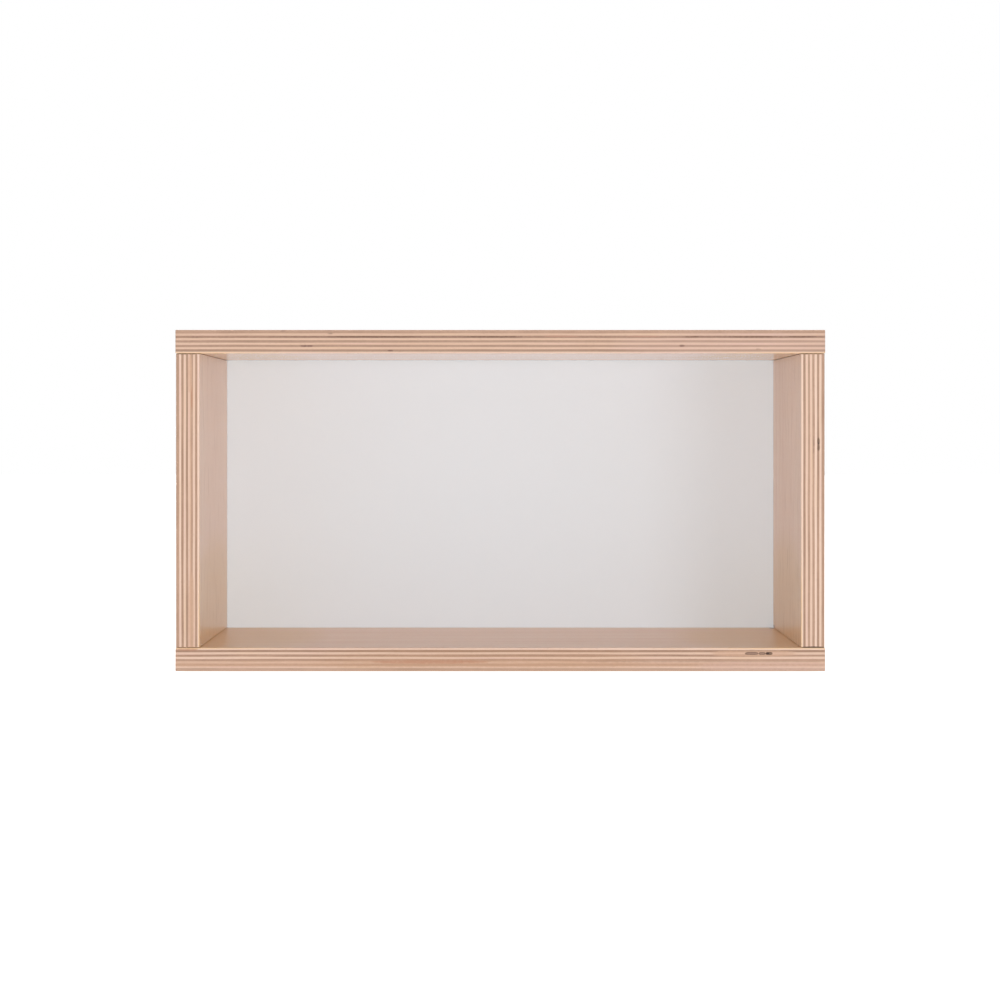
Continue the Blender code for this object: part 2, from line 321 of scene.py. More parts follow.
def settle(helper):
    """What a helper object looks like with its modifiers, as a plain mesh. The helper is removed."""
    scene.collection.objects.link(helper)
    graph = bpy.context.evaluated_depsgraph_get()
    mesh = bpy.data.meshes.new_from_object(helper.evaluated_get(graph))
    bpy.data.objects.remove(helper)
    return mesh


def grow(tree, start, values):
    """Run a tree on a starting mesh. Objects among its inputs are removed afterwards."""
    helper = bpy.data.objects.new("helper", start)
    modifier = helper.modifiers.new("tree", "NODES")
    modifier.node_group = tree
    for item in tree.interface.items_tree:
        if item.in_out == "INPUT" and item.name in values:
            modifier[item.identifier] = values[item.name]
    mesh = settle(helper)
    for value in values.values():
        if isinstance(value, bpy.types.Object):
            bpy.data.objects.remove(value)
    return mesh


print("trees ready")

# %% How far a glue line strays
DRIFT = 0.55 * MM
DRIFT_LENGTH = 45 * MM
DRIFT_DEPTH = 2.2 * MM


def drift(along, wide, depth, seed, full_depth):
    """How far a glue line strays here. The shape and the colours of a board both read it."""
    place = join(along / DRIFT_LENGTH, wide / DRIFT_LENGTH, depth / DRIFT_DEPTH + seed)
    away_from_faces = depth * (full_depth - depth) * (4 / full_depth**2)
    return (noise(place, 0.0) - 0.5) * away_from_faces * DRIFT


print("a glue line strays by", round(DRIFT / 2 / MM, 3), "mm at most")

# %% The tree that presses a board
SAME_POINT = 0.001 * MM


def store(geometry, name, kind, domain, value):
    """Keep a value on the geometry under a name."""
    settings = {"data_type": kind, "domain": domain}
    return geometry.then("GeometryNodeStoreNamedAttribute", settings, {"Name": name, "Value": value})


def kept(start, name, kind="FLOAT_VECTOR"):
    """A value that the geometry keeps under this name."""
    return start.node("GeometryNodeInputNamedAttribute", {"data_type": kind}, {"Name": name})


def press_tree(full_depth):
    """From the outline of a face to a whole board, ring by ring down its edge."""
    inputs = {"Edge profile": "Object", "Rings": "Int", "End arris": "Float", "End relief": "Float"}
    tree, given = open_tree("pressed_plies", {**inputs, "Seed": "Float", "Finish": "Material"})
    profile = given["Edge profile"].then("GeometryNodeObjectInfo")
    place = given.node("GeometryNodeInputPosition")
    home = kept(given, "home")
    out = kept(given, "outward")
    crown = kept(given, "crown", "BOOLEAN")

    def ring(number):
        """Where the points of this ring belong."""
        values = {"Value": place, "Index": number}
        sample = profile["Geometry"].then("GeometryNodeSampleIndex", {"data_type": "FLOAT_VECTOR"}, values)
        inset, cross, depth = sample.split()
        home_long, home_wide, _ = home.split()
        out_long, out_wide, _ = out.split()
        on_end = abs(out_long) + (abs(out_wide) - abs(out_long)) * cross
        eased = inset * (1 - abs(out_long) * (1 - given["End arris"]))
        sunk = eased + on_end * given["End relief"]
        stray = drift(home_long, home_wide, depth, given["Seed"], full_depth)
        return join(home_long - out_long * sunk, home_wide - out_wide * sunk, depth + stray)

    outline = store(given["Geometry"], "home", "FLOAT_VECTOR", "POINT", place)
    outline = store(outline, "crown", "BOOLEAN", "FACE", True)
    outline = outline.then("GeometryNodeSetPosition", values={"Position": ring(0)})
    outer_face = outline.then("GeometryNodeFlipFaces")

    start = tree.nodes.new("GeometryNodeRepeatInput")
    end = tree.nodes.new("GeometryNodeRepeatOutput")
    start.pair_with_output(end)
    fill(start, {"Iterations": given["Rings"], "Geometry": outline})
    stack = Term(tree, start.outputs["Geometry"])
    raised = stack.then("GeometryNodeExtrudeMesh", values={"Selection": crown, "Offset Scale": 0.0})
    stack = store(raised, "crown", "BOOLEAN", "FACE", raised["Top"])
    next_ring = ring(Term(tree, start.outputs["Iteration"]) + 1)
    values = {"Selection": crown, "Position": next_ring}
    fill(end, {"Geometry": stack.then("GeometryNodeSetPosition", values=values)})

    pressed = Term(tree, end.outputs["Geometry"])
    whole = pressed.node("GeometryNodeJoinGeometry", values={"Geometry": [pressed, outer_face]})
    whole = whole.then("GeometryNodeMergeByDistance", values={"Distance": SAME_POINT})
    close_tree(whole, given["Finish"])
    return tree


press = press_tree(thickness(BOARDS[0]))
print("press tree:", len(press.nodes), "nodes")

# %% [markdown]
# ## What nature and the saw left in the edges
#
# The front edges carry marks that make this shelf this one: gaps in the core where two sheets didn't
# quite meet, knots, short brown streaks and a reddish tint of heartwood. Painting them as a picture
# would not follow the wood, so each is a place on its board with a size and a stain. The gaps and
# the knots are also real hollows, cut into the edge further down. A few marks on the inner faces
# are painted shade instead: a warm darkening towards the corners where the boards meet, and a
# dark spot in the back corner at the lower right.

# %% Stains
# edge: how far out a stain starts to fade, from 0 at its middle to 1 at its outline.
# broken: how much of it is lost to dashes of clean wood.
Stain = namedtuple("Stain", "colour strength edge broken")
GAP = Stain((0.130, 0.068, 0.046), 0.35, 0.5, 0.3)
DARK = Stain((0.235, 0.125, 0.078), 0.62, 0.5, 0.2)
KNOT = Stain((0.035, 0.010, 0.003), 0.97, 0.2, 0.0)
RIM = Stain((0.165, 0.088, 0.046), 0.92, 0.6, 0.1)
PITH = Stain((0.330, 0.190, 0.130), 0.85, 0.4, 0.3)
# Fine deep-brown streaks; the same stain also paints the shade of the dark spot in the back corner.
STREAK_AND_CORNER_SHADE = Stain((0.180, 0.085, 0.055), 0.90, 0.1, 0.3)
FAINT = Stain((0.250, 0.140, 0.095), 0.60, 0.0, 0.6)
HEART = Stain((0.470, 0.215, 0.115), 0.80, 0.0, 0.2)
BLUSH = Stain((0.500, 0.255, 0.170), 0.60, 0.0, 0.3)
TAN = Stain((0.610, 0.367, 0.240), 0.70, 0.3, 0.2)
DUSK = Stain((0.310, 0.170, 0.108), 0.75, 0.6, 0.3)
SHADE = Stain((0.340, 0.205, 0.140), 0.45, 0.5, 0.3)
HONEY = Stain((0.400, 0.180, 0.040), 0.17, 0.2, 0.2)
WORN = Stain((0.700, 0.490, 0.380), 0.30, 0.4, 0.2)
PINK = Stain((0.650, 0.425, 0.350), 0.45, 0.2, 0.4)
GLUE = Stain((0.110, 0.060, 0.042), 0.90, 0.3, 0.2)
DOTS = Stain((0.130, 0.075, 0.052), 0.70, 0.2, 1.0)
# Painted shade: a warm darkening of the inner faces towards the corners where two boards meet.
WARM_CORNER_SHADE = Stain((0.850, 0.550, 0.245), 0.75, 0.0, 0.0)
print("reddest stain:", HEART)

# %% The marks, in millimetres
# along and depth: its middle, along the board and below the outer face. hollow: how deep it is cut.
# behind and reach: where its middle lies behind the front edge, and how far it goes in from there.
FIELDS = "along depth half_length half_height stain hollow behind reach"
Mark = namedtuple("Mark", FIELDS, defaults=[0, 0, 3])
WHOLE = 400  # longer than any board, so that the mark runs from end to end
CORE_GAPS = [(-81, 33), (-4, 20), (122.6, 5), (161, 17), (193, 10)]  # in the top: along, half length
MARKS = {
    "top_panel": [
        Mark(150, 9.0, 85, 9.0, PINK),
        Mark(0, 4.5, WHOLE, 0.85, DUSK),
        *(Mark(0, depth, WHOLE, 0.80, SHADE) for depth in (7.4, 10.3, 13.2)),
        Mark(-67, 4.4, 86, 0.62, DARK),
        Mark(162, 4.4, 47, 0.62, DARK),
        *(Mark(along, 4.4, length, 0.50, GAP, 0.3) for along, length in CORE_GAPS),
        Mark(39, 4.1, 13, 0.8, BLUSH),
        Mark(92, 4.1, 12, 0.8, BLUSH),
        Mark(-195, 4.7, 2.4, 0.8, FAINT),
        Mark(-138.8, 0.8, 2.0, 0.7, FAINT),
        Mark(-108.8, 2.3, 2.0, 0.7, FAINT),
        Mark(-123.5, 10.3, 4.5, 0.8, STREAK_AND_CORNER_SHADE),
        Mark(-70.2, 13.2, 2.0, 0.7, STREAK_AND_CORNER_SHADE),
        Mark(116, 10.1, 2.0, 0.8, STREAK_AND_CORNER_SHADE),
        Mark(164.9, 12.3, 2.0, 0.8, FAINT),
        Mark(153, 15, 2.2, 0.8, STREAK_AND_CORNER_SHADE, behind=107),
        # painted shade on the underside of the top, towards its corners with the sides
        *(Mark(end, 15, 85, 1.5, WARM_CORNER_SHADE, behind=90, reach=150) for end in (-205, 205)),
    ],
    "bottom_panel": [
        Mark(0, 1.1, WHOLE, 1.2, WORN),
        Mark(0, 4.6, 330, 2.6, TAN),
        Mark(130, 6.1, 85, 0.5, SHADE),
        Mark(-15, 7.5, 115, 10, HONEY),
        Mark(175, 3.2, 55, 3.6, PINK),
        Mark(-45, 6.0, 42, 1.6, HEART),
        Mark(162, 11.4, 30, 2.4, TAN),
        Mark(160.5, 11.4, 4.7, 1.05, RIM, 0.2),
        Mark(160.8, 11.4, 4.0, 0.70, PITH),
        Mark(167.2, 11.4, 2.3, 1.00, RIM, 0.2),
        Mark(167.2, 11.4, 1.6, 0.60, PITH),
        Mark(171.6, 11.4, 2.4, 1.05, RIM, 0.5),
        Mark(170.8, 11.5, 1.3, 0.70, KNOT),
        Mark(-200, 14.0, 8, 1.0, HEART),
        # painted shade on the floor of the box, towards its corners with the sides
        *(Mark(end, 15, 95, 1.5, WARM_CORNER_SHADE, behind=90, reach=150) for end in (-205, 205)),
        # painted shade: the dark spot in the back corner where the bottom, the right side and the back
        # meet
        Mark(190.5, 15, 2.0, 1.0, STREAK_AND_CORNER_SHADE, behind=173, reach=5),
    ],
    "left_side": [
        Mark(32, 9.8, 34, 2.4, TAN),
        Mark(109, 9.2, 160, 0.75, TAN),
        Mark(175, 10.1, 9, 0.8, HEART),
        Mark(190, 9.0, 14, 1.6, TAN),
        Mark(202.8, 7.5, 0.6, 9, DOTS),
        # painted shade on the inner face, darker towards the bottom
        Mark(15, 15, 75, 1.5, WARM_CORNER_SHADE, behind=90, reach=150),
    ],
    "right_side": [
        Mark(144.8, 3.9, 6.0, 0.9, FAINT),
        Mark(146.9, 3.9, 2.2, 0.85, RIM, 0.3),
        Mark(142.8, 3.9, 2.0, 0.75, RIM, 0.3),
        Mark(145.6, 3.9, 0.7, 0.35, KNOT),
        Mark(145, 7.0, 6, 0.6, FAINT),
        Mark(202.8, 7.5, 0.5, 9, DOTS),
        Mark(15.2, 7.5, 0.8, 9, GLUE),
        # painted shade on the inner face, darker towards the bottom
        Mark(15, 15, 75, 1.5, WARM_CORNER_SHADE, behind=90, reach=150),
        # painted shade: the dark spot in the back corner where the bottom, the right side and the back
        # meet
        Mark(16, 15, 1.6, 1.0, STREAK_AND_CORNER_SHADE, behind=173, reach=5),
    ],
    "hanging_rail": [],
}
print("marks:", {node: len(marks) for node, marks in MARKS.items()})

# %% [markdown]
# ## The plywood finish
#
# A picture of plywood stretched over the boards would never meet at the arrises. This finish is a
# solid one instead: for any point in the board it works out which ply the point is in, which way
# that ply's grain runs, and whether the surface there cuts the grain along or across. Long grain is
# pale with fine streaks and flecks, and end grain is darker, with pores and rays. The same rule
# colours the faces, the front edge and the sawn ends, where light and dark plies swap by themselves.
# The inner faces are a little paler than the outer ones: that is painted light and sheen on the inside
# of the box, not a difference in the veneer.
# In the sums below, each number says how far a pattern moves the wood between two of its colours.

# %% Colours of the wood
PALE_BEECH = (0.820, 0.592, 0.466)
WARM_BEECH = (0.605, 0.375, 0.250)
HONEY_BEECH = (0.715, 0.475, 0.296)
ROSE_BEECH = (0.740, 0.485, 0.405)
# The inner face's colours are paler than the outside's: painted light and sheen inside the box.
PALE_FACE = (0.965, 0.700, 0.523)
WARM_FACE = (0.900, 0.600, 0.428)
PALE_OUTSIDE = (0.815, 0.590, 0.450)
WARM_OUTSIDE = (0.735, 0.485, 0.345)
FLECK_BROWN = (0.330, 0.190, 0.125)
PALE_END = (0.508, 0.307, 0.208)
DARK_END = (0.362, 0.206, 0.130)
GLUE_BROWN = (0.380, 0.235, 0.160)


def open_finish(name):
    """A new material with its shader, and a term to grow its tree from."""
    material = bpy.data.materials.new(name)
    material.use_nodes = True
    return material, material.node_tree.nodes["Principled BSDF"], Term(material.node_tree)


def coordinates(start, output):
    return start.node("ShaderNodeTexCoord", output=output).split()


def bump(height, strength, distance):
    """A normal that follows a height."""
    values = {"Height": height, "Strength": strength, "Distance": distance}
    return height.node("ShaderNodeBump", values=values)


print("pale and dark ply:", PALE_BEECH, DARK_END)

# %% From a point in the board to its ply and its grain
Grain = namedtuple("Grain", "place along across depth ply joint on_end on_face inside seed")
ON_FACE = (0.6, 0.9)  # how squarely a surface looks outwards, from edge to face
ON_END = (0.45, 0.75)  # how squarely it cuts the fibres, from long grain to end grain
GLUE_BAND = (0.45, 0.5)  # the glue's share of a ply, counted from the ply's middle
SEED_STEP = 5.3


def grain_of(board, start):
    """Where a point lies in its ply, and how the surface cuts the grain there."""
    place = coordinates(start, "Object")
    normal = coordinates(start, "Normal")
    facing = [abs(axis) for axis in normal]
    long, wide = place[board.long], place[board.wide]
    depth = (outer_plane(board) - place[board.thick]) * board.outward
    level = depth - drift(long, wide, depth, board.seed, thickness(board))
    layer = (level - board.skin) / CORE_PLY + 1
    ply = layer.sum("FLOOR", layer)
    ply = ply.sum("MINIMUM", ply.sum("MAXIMUM", ply, 0), LAST_PLY)
    cross = ply % 2
    on_face = facing[board.thick].smooth(*ON_FACE)
    on_end = facing[board.long] + (facing[board.wide] - facing[board.long]) * cross
    worn_ply = (1 - ply.sum("MINIMUM", ply, 1)) * (1 - on_face)
    return Grain(
        place=place,
        along=long + (wide - long) * cross,
        across=wide + (long - wide) * cross,
        depth=depth,
        ply=ply,
        joint=abs(layer - ply - 0.5).smooth(*GLUE_BAND),
        on_end=on_end.sum("MAXIMUM", on_end.smooth(*ON_END), worn_ply),
        on_face=on_face,
        inside=0.5 - normal[board.thick] * (0.5 * board.outward),
        seed=ply * SEED_STEP + board.seed,
    )


print("grain:", Grain._fields)

# %% Patterns that follow the grain, in millimetres
Pattern = namedtuple("Pattern", "length width depth detail", defaults=[2.0])
STREAKS = Pattern(45, 0.8, 0.8, 3.0)  # fine pale and deep lines
BANDS = Pattern(260, 14, 14, 1.0)  # the same, broad and long
HUES = Pattern(70, 5, 5, 1.0)  # stretches of honey and of rose
FLECKS = Pattern(4.5, 0.75, 1.5)  # the short brown flecks of beech
DASHES = Pattern(4, 2, 2)  # breaks in the end grain and in stains
PORES = Pattern(2, 0.18, 0.18, 1.0)  # open ends of the vessels
RAYS = Pattern(4, 0.3, 2.5)  # flat rays between them
CLOUDS = Pattern(5, 12, 12)  # paler patches of end grain
SPELLS = Pattern(30, 50, 50, 1.0)  # paler stretches of end grain


def in_cells(grain, pattern):
    """A point in the wood, counted in cells of a pattern."""
    length, width, depth = [size * MM for size in pattern[:3]]
    return join(grain.along / length, grain.across / width, grain.depth / depth + grain.seed)


def fibres(grain, pattern):
    """Noise drawn out along the grain, a little below and above 0."""
    return noise(in_cells(grain, pattern), pattern.detail) - 0.5


print("longest and shortest pattern:", BANDS.length, "and", PORES.length, "mm")

# %% Stains where the marks are
def stained(board, grain, colour, ragged, breaks):
    """The wood's colour with the board's marks worked in, with ragged and broken outlines."""
    for mark in MARKS[board.node]:
        sideways = (grain.place[board.long] - mark.along * MM) / (mark.half_length * MM)
        upward = (grain.depth - mark.depth * MM) / (mark.half_height * MM)
        inward = (grain.place[Y] - (front + mark.behind * MM)) / (mark.reach * MM)
        blunt = sideways * sideways
        distance = blunt * blunt + upward * upward + inward * inward + ragged
        inside = (1 - distance.smooth(mark.stain.edge, 1.0)) * (1 - breaks * mark.stain.broken)
        colour = mix(inside * mark.stain.strength, colour, mark.stain.colour)
    return colour


print("most marks on one board:", max(map(len, MARKS.values())))

# %% Long grain and end grain
TINTED = (0.05, 0.25)  # where the hue turns to honey on one side and to rose on the other
TINT = 0.6
FLECK_SIZE = (0.10, 0.26)  # shares of a fleck's cell
EDGE_FLECKS = 0.35
FACE_FLECKS = 1.1


def brown_flecks(grain, streak):
    """1 inside a fleck, and less in deep streaks."""
    cell = in_cells(grain, FLECKS)
    distance = cell.then("ShaderNodeTexVoronoi", values={"Scale": 1.0})
    return (1 - distance.smooth(*FLECK_SIZE)) * (0.35 + streak)


def long_grain_colour(board, grain, streak, fleck, whim):
    """The board's faces, and its edges where they run along the grain."""
    band = fibres(grain, BANDS)
    hue = fibres(grain, HUES)
    inner_ply = grain.ply.sum("GREATER_THAN", grain.ply, LAST_PLY - 0.5)
    tone = 0.5 + board.tone + streak * 0.45 + band * 0.5 + hue * 0.35 + whim * 0.2 + inner_ply * 0.3
    edge = mix(tone, WARM_BEECH, PALE_BEECH)
    edge = mix(hue.smooth(*TINTED) * TINT, edge, HONEY_BEECH)
    edge = mix((0 - hue).smooth(*TINTED) * TINT, edge, ROSE_BEECH)
    figure = streak * 0.8 + band + hue * 0.5
    outer_face = mix(0.5 + figure, WARM_OUTSIDE, PALE_OUTSIDE)
    inner_face = mix(0.5 + figure * board.figure, WARM_FACE, PALE_FACE)
    # the inner faces take the paler colours, as painted light and sheen inside the box
    face = mix(grain.inside, outer_face, inner_face)
    more_flecks = FACE_FLECKS * min(board.figure, 1.0) - EDGE_FLECKS
    flecks = fleck * (EDGE_FLECKS + grain.on_face * more_flecks)
    return mix(flecks, mix(grain.on_face, edge, face), FLECK_BROWN)


def end_grain_colour(board, grain, dash, pore, whim):
    """The board's edges where they cut the fibres."""
    ray, cloud, spell = [fibres(grain, pattern) for pattern in (RAYS, CLOUDS, SPELLS)]
    inner_pair = grain.ply.sum("GREATER_THAN", grain.ply, LAST_PLY - 1.5)
    tone = 0.5 - board.tone * 0.3 + ray * 0.4 + pore * 0.3 + cloud * 0.9 + dash * 0.5 + spell * 1.1
    return mix(tone + whim * 0.5 - inner_pair * 0.35, DARK_END, PALE_END)


print("flecks on edges and faces:", EDGE_FLECKS, FACE_FLECKS)

# %% The finish itself
GLUE_STRENGTH = 0.3
EDGE_ROUGHNESS = 0.6
OUTER_GLOSS = 0.22
UNEVEN_GLOSS = 0.06
FACE_RELIEF = 0.4  # a sanded face keeps this share of an edge's relief
GRAIN_HEIGHT = 0.06 * MM


def plywood_finish(board):
    material, shader, start = open_finish(f"plywood_{board.piece}")
    grain = grain_of(board, start)
    streak, dash, pore = [fibres(grain, pattern) for pattern in (STREAKS, DASHES, PORES)]
    whim = start.node("ShaderNodeTexWhiteNoise", {"noise_dimensions": "1D"}, {"W": grain.seed}) - 0.5
    fleck = brown_flecks(grain, streak)
    long_grain = long_grain_colour(board, grain, streak, fleck, whim)
    end_grain = end_grain_colour(board, grain, dash, pore, whim)
    wood = mix(grain.on_end, long_grain, end_grain)
    wood = mix(grain.joint * (1 - grain.on_face) * GLUE_STRENGTH, wood, GLUE_BROWN)
    wood = stained(board, grain, wood, streak * 0.5 + dash * 0.4, dash.smooth(-0.1, 0.15))
    gloss = OUTER_GLOSS + grain.inside * (board.gloss - OUTER_GLOSS)
    rough = EDGE_ROUGHNESS - grain.on_face * gloss + streak * (UNEVEN_GLOSS * board.figure)
    height = streak * 0.5 * (1 - grain.on_end) + pore * grain.on_end - fleck * 0.4
    height = height * (1 - grain.on_face * (1 - FACE_RELIEF * board.figure))
    relief = bump(height, 0.35, GRAIN_HEIGHT)
    fill(shader, {"Base Color": wood, "Roughness": rough, "Normal": relief, "IOR": 1.6})
    return material


finishes = {board.node: plywood_finish(board) for board in BOARDS}
print("plywood finishes:", {name: len(made.node_tree.nodes) for name, made in finishes.items()})

# %% [markdown]
# ## Hollows in the front edge
#
# The core gaps and the knots are shallow hollows. They could be pushed into the edge point by point,
# but a hollow is the same lens each time in another size, which is what instances are for. A tree
# puts a ball on each mark's point, stretched to the mark's own size, and the result is cut away.

# %% The tree that makes the lenses
LENS_FINENESS = 4
HOLLOW_SHARE = 0.85  # a hollow is a little smaller than its stain


def lens_tree():
    """A ball on every point, stretched to the size that the point carries."""
    tree, given = open_tree("mark_lenses", {"Fineness": "Int", "Finish": "Material"})
    values = {"Radius": 1.0, "Subdivisions": given["Fineness"]}
    ball = given.node("GeometryNodeMeshIcoSphere", values=values)
    values = {"Instance": ball, "Scale": kept(given, "size")}
    close_tree(given["Geometry"].then("GeometryNodeInstanceOnPoints", values=values), given["Finish"])
    return tree


lenses = lens_tree()


def lens_mesh(board):
    """The lenses of one board's hollow marks, or None where it has none."""
    marks = [mark for mark in MARKS[board.node] if mark.hollow]
    if not marks:
        return None
    shape = bmesh.new()
    size_of = shape.verts.layers.float_vector.new("size")
    for mark in marks:
        place, size = Vector(), Vector()
        place[Y], size[Y] = front + mark.behind * MM, mark.hollow * MM
        place[board.long] = mark.along * MM
        size[board.long] = mark.half_length * HOLLOW_SHARE * MM
        place[board.thick] = outer_plane(board) - board.outward * mark.depth * MM
        size[board.thick] = mark.half_height * HOLLOW_SHARE * MM
        point = shape.verts.new(place)
        point[size_of] = size
    values = {"Fineness": LENS_FINENESS, "Finish": finishes[board.node]}
    return grow(lenses, shape_mesh("marks", shape), values)


print("lens tree:", len(lenses.nodes), "nodes")

# %% [markdown]
# ## Cutting the joinery
#
# Each board now gets what a workshop would cut into it: the groove that holds the back panel, the
# dowel holes, and in the rail the pockets behind the keyholes. A Boolean modifier with a simple
# cutter does each cut. The places come from the pieces that fit in them, so nothing is
# measured twice, and most of it is hidden once the shelf is together.

# %% Plain cutters
HOLE_SIDES = 24


def block(low, high):
    """A box between two opposite corners."""
    shape = bmesh.new()
    place = Matrix.Translation((low + high) / 2)
    size = Matrix.Diagonal((*(high - low), 1))
    bmesh.ops.create_cube(shape, size=1.0, matrix=place @ size)
    return shape_mesh("block", shape)


def rod(start, end, radius, end_radius=None):
    """A round cutter from one point to another."""
    axis = end - start
    turn = axis.to_track_quat("Z", "Y").to_matrix().to_4x4()
    shape = bmesh.new()
    bmesh.ops.create_cone(
        shape,
        cap_ends=True,
        segments=HOLE_SIDES,
        radius1=radius,
        radius2=end_radius or radius,
        depth=axis.length,
        matrix=Matrix.Translation((start + end) / 2) @ turn,
    )
    return shape_mesh("rod", shape)


print("round cutters have", HOLE_SIDES, "sides")

# %% Cutting
def close_up(mesh):
    """Clean a mesh: no doubled points, no flat slivers, no spare points, all faces outwards."""
    shape = bmesh.new()
    shape.from_mesh(mesh)
    bmesh.ops.remove_doubles(shape, verts=shape.verts, dist=SAME_POINT)
    bmesh.ops.dissolve_degenerate(shape, edges=shape.edges, dist=SAME_POINT)
    halfway = [point for point in shape.verts if len(point.link_edges) == 2]
    bmesh.ops.dissolve_verts(shape, verts=halfway)
    bmesh.ops.recalc_face_normals(shape, faces=shape.faces)
    shape.to_mesh(mesh)
    shape.free()
    return mesh


def cut(mesh, cutters):
    """The mesh with all cutters taken away."""
    work = bpy.data.objects.new("work", mesh)
    helpers = [bpy.data.objects.new("cutter", cutter) for cutter in cutters]
    for helper in helpers:
        scene.collection.objects.link(helper)
        modifier = work.modifiers.new("cut", "BOOLEAN")
        modifier.object = helper
    result = settle(work)
    for helper in helpers:
        bpy.data.objects.remove(helper)
    return close_up(result)


print("points closer than", SAME_POINT / MM, "mm are merged")

# %% The groove and the dowel holes
GROOVE_SIDE = 0.3 * MM
GROOVE_END = 0.5 * MM
HOLE_SLACK = 0.2 * MM
HOLE_END = 0.5 * MM
CORNER_DOWEL = 8 * MM
RAIL_DOWEL = 6 * MM


def groove_cutter():
    """The back panel with its slack, which cuts the groove of all four boards."""
    low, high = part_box("back_panel")
    slack = Vector((GROOVE_END, GROOVE_SIDE, GROOVE_END))
    return block(low - slack, high + slack)


def dowel_cutters():
    """A hole for each dowel, a little wider and longer than the dowel."""
    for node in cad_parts:
        if "dowel" not in node:
            continue
        low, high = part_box(node)
        axis, diameter = (X, RAIL_DOWEL) if node.startswith("rail") else (Z, CORNER_DOWEL)
        start = (low + high) / 2
        end = start.copy()
        start[axis] = low[axis] - HOLE_END
        end[axis] = high[axis] + HOLE_END
        yield node, rod(start, end, diameter / 2 + HOLE_SLACK)


dowel_holes = dict(dowel_cutters())
print("holes for", len(dowel_holes), "dowels")

# %% Pockets and pilot holes in the rail
POCKET_RADIUS = 6 * MM
POCKET_DEPTH = 8 * MM
KEYHOLE_TRAVEL = 9 * MM
PILOT_RADIUS = 1.9 * MM
PASS = 2 * MM


def middle_of(node):
    low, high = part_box(node)
    return (low + high) / 2


def pocket_cutters(side):
    """Room for the wall screw's head behind a keyhole: two bores and the stretch between them."""
    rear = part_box("hanging_rail")[1][Y]
    middle = middle_of(f"{side}_hanger_plate")
    ends = []
    for up in (-0.5, 0.5):
        inner = Vector((middle.x, rear - POCKET_DEPTH, middle.z + up * KEYHOLE_TRAVEL))
        outer = Vector((inner.x, rear + PASS, inner.z))
        ends.append((inner, outer))
        yield rod(inner, outer, POCKET_RADIUS)
    reach = Vector((POCKET_RADIUS, 0, 0))
    yield block(ends[0][0] - reach, ends[1][1] + reach)


def pilot_cutters():
    """A hole in the rail for each screw."""
    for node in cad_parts:
        if "screw" in node:
            low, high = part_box(node)
            start = Vector((middle_of(node).x, low.y - HOLE_END, middle_of(node).z))
            yield rod(start, start + Vector((0, high.y - low.y + PASS, 0)), PILOT_RADIUS)


print("pilot holes:", len(list(pilot_cutters())))

# %% A board from the press
BUTTED_ARRIS = 0.2  # a butted end keeps only this share of its arris
END_RELIEF = 0.04 * MM


def pressed_mesh(board):
    """A board straight from the press, in its place, before any joinery is cut."""
    points = edge_profile(thickness(board), board.skin)
    mesh = grow(press, outline_mesh(board), {
        "Edge profile": profile_object(points),
        "Rings": len(points) - 1,
        "End arris": 1.0 if board.butts is None else BUTTED_ARRIS,
        "End relief": END_RELIEF,
        "Seed": board.seed,
        "Finish": finishes[board.node],
    })
    for name in ("home", "outward", "crown"):
        mesh.attributes.remove(mesh.attributes[name])
    turn = Matrix.Diagonal((0, 0, 0, 1))
    turn[board.long][X] = 1
    turn[board.wide][Y] = 1
    turn[board.thick][Z] = -board.outward
    turn[board.thick][3] = outer_plane(board)
    mesh.transform(turn)
    if turn.determinant() < 0:
        mesh.flip_normals()
    return mesh


print("boards to press:", [board.piece for board in BOARDS])

# %% Cut and place the five boards
def hand_over(name, mesh, finish, slot, *nodes):
    """A mesh with one finish all over becomes a piece, and stands for these nodes."""
    mesh.materials.clear()
    mesh.materials.append(finish)
    mesh.polygons.foreach_set("material_index", [0] * len(mesh.polygons))
    piece = bpy.data.objects.new(name, mesh)
    scene.collection.objects.link(piece)
    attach(piece, "root")
    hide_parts(*nodes)
    mesh.calc_loop_triangles()
    print(name, "has", len(mesh.loop_triangles), "triangles and stands for", nodes)


def joinery(board):
    """Every cutter that this board meets."""
    if board.node == "hanging_rail":
        yield from (dowel_holes[node] for node in dowel_holes if node.startswith("rail"))
        yield from pocket_cutters("left")
        yield from pocket_cutters("right")
        yield from pilot_cutters()
        return
    yield groove_cutter()
    word = board.node.split("_")[0]
    yield from (dowel_holes[node] for node in dowel_holes if f"_{word}_" in node)
    if lens := lens_mesh(board):
        yield lens


for board in BOARDS:
    mesh = cut(pressed_mesh(board), joinery(board))
    hand_over(board.piece, mesh, finishes[board.node], "plywood", board.node)

# %% [markdown]
# ## The white back panel
#
# The back is a thin board with a white, satin facing. Its solid from the construction is already
# right, so it stays and only gets a finish. A facing is never perfectly flat or even: pressing it
# leaves a faint ripple and a slight mottle, which show when light glances along it. Inside the box
# the wood tints the light, and the back still looks neutral there, so its front is a cool white.
# The rear, which faces the wall, is a plain white.

# %% White facing
RIPPLE = [6 * MM] * 3
MOTTLE = (90 * MM, 90 * MM, 60 * MM)
RIPPLE_HEIGHT = 0.05 * MM
COOL_WHITES = (0.699, 0.763, 0.821), (0.714, 0.778, 0.836)
PLAIN_WHITES = (0.690, 0.690, 0.680), (0.710, 0.710, 0.700)


def stretched(place, sizes):
    """A place, counted in cells of these sizes."""
    return join(*(value / size for value, size in zip(place, sizes)))


def dress(node, material):
    """Give a node of the construction its finish."""
    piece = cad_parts[node]
    piece.data.materials.clear()
    piece.data.materials.append(material)
    print(node, "is finished in", material.name)


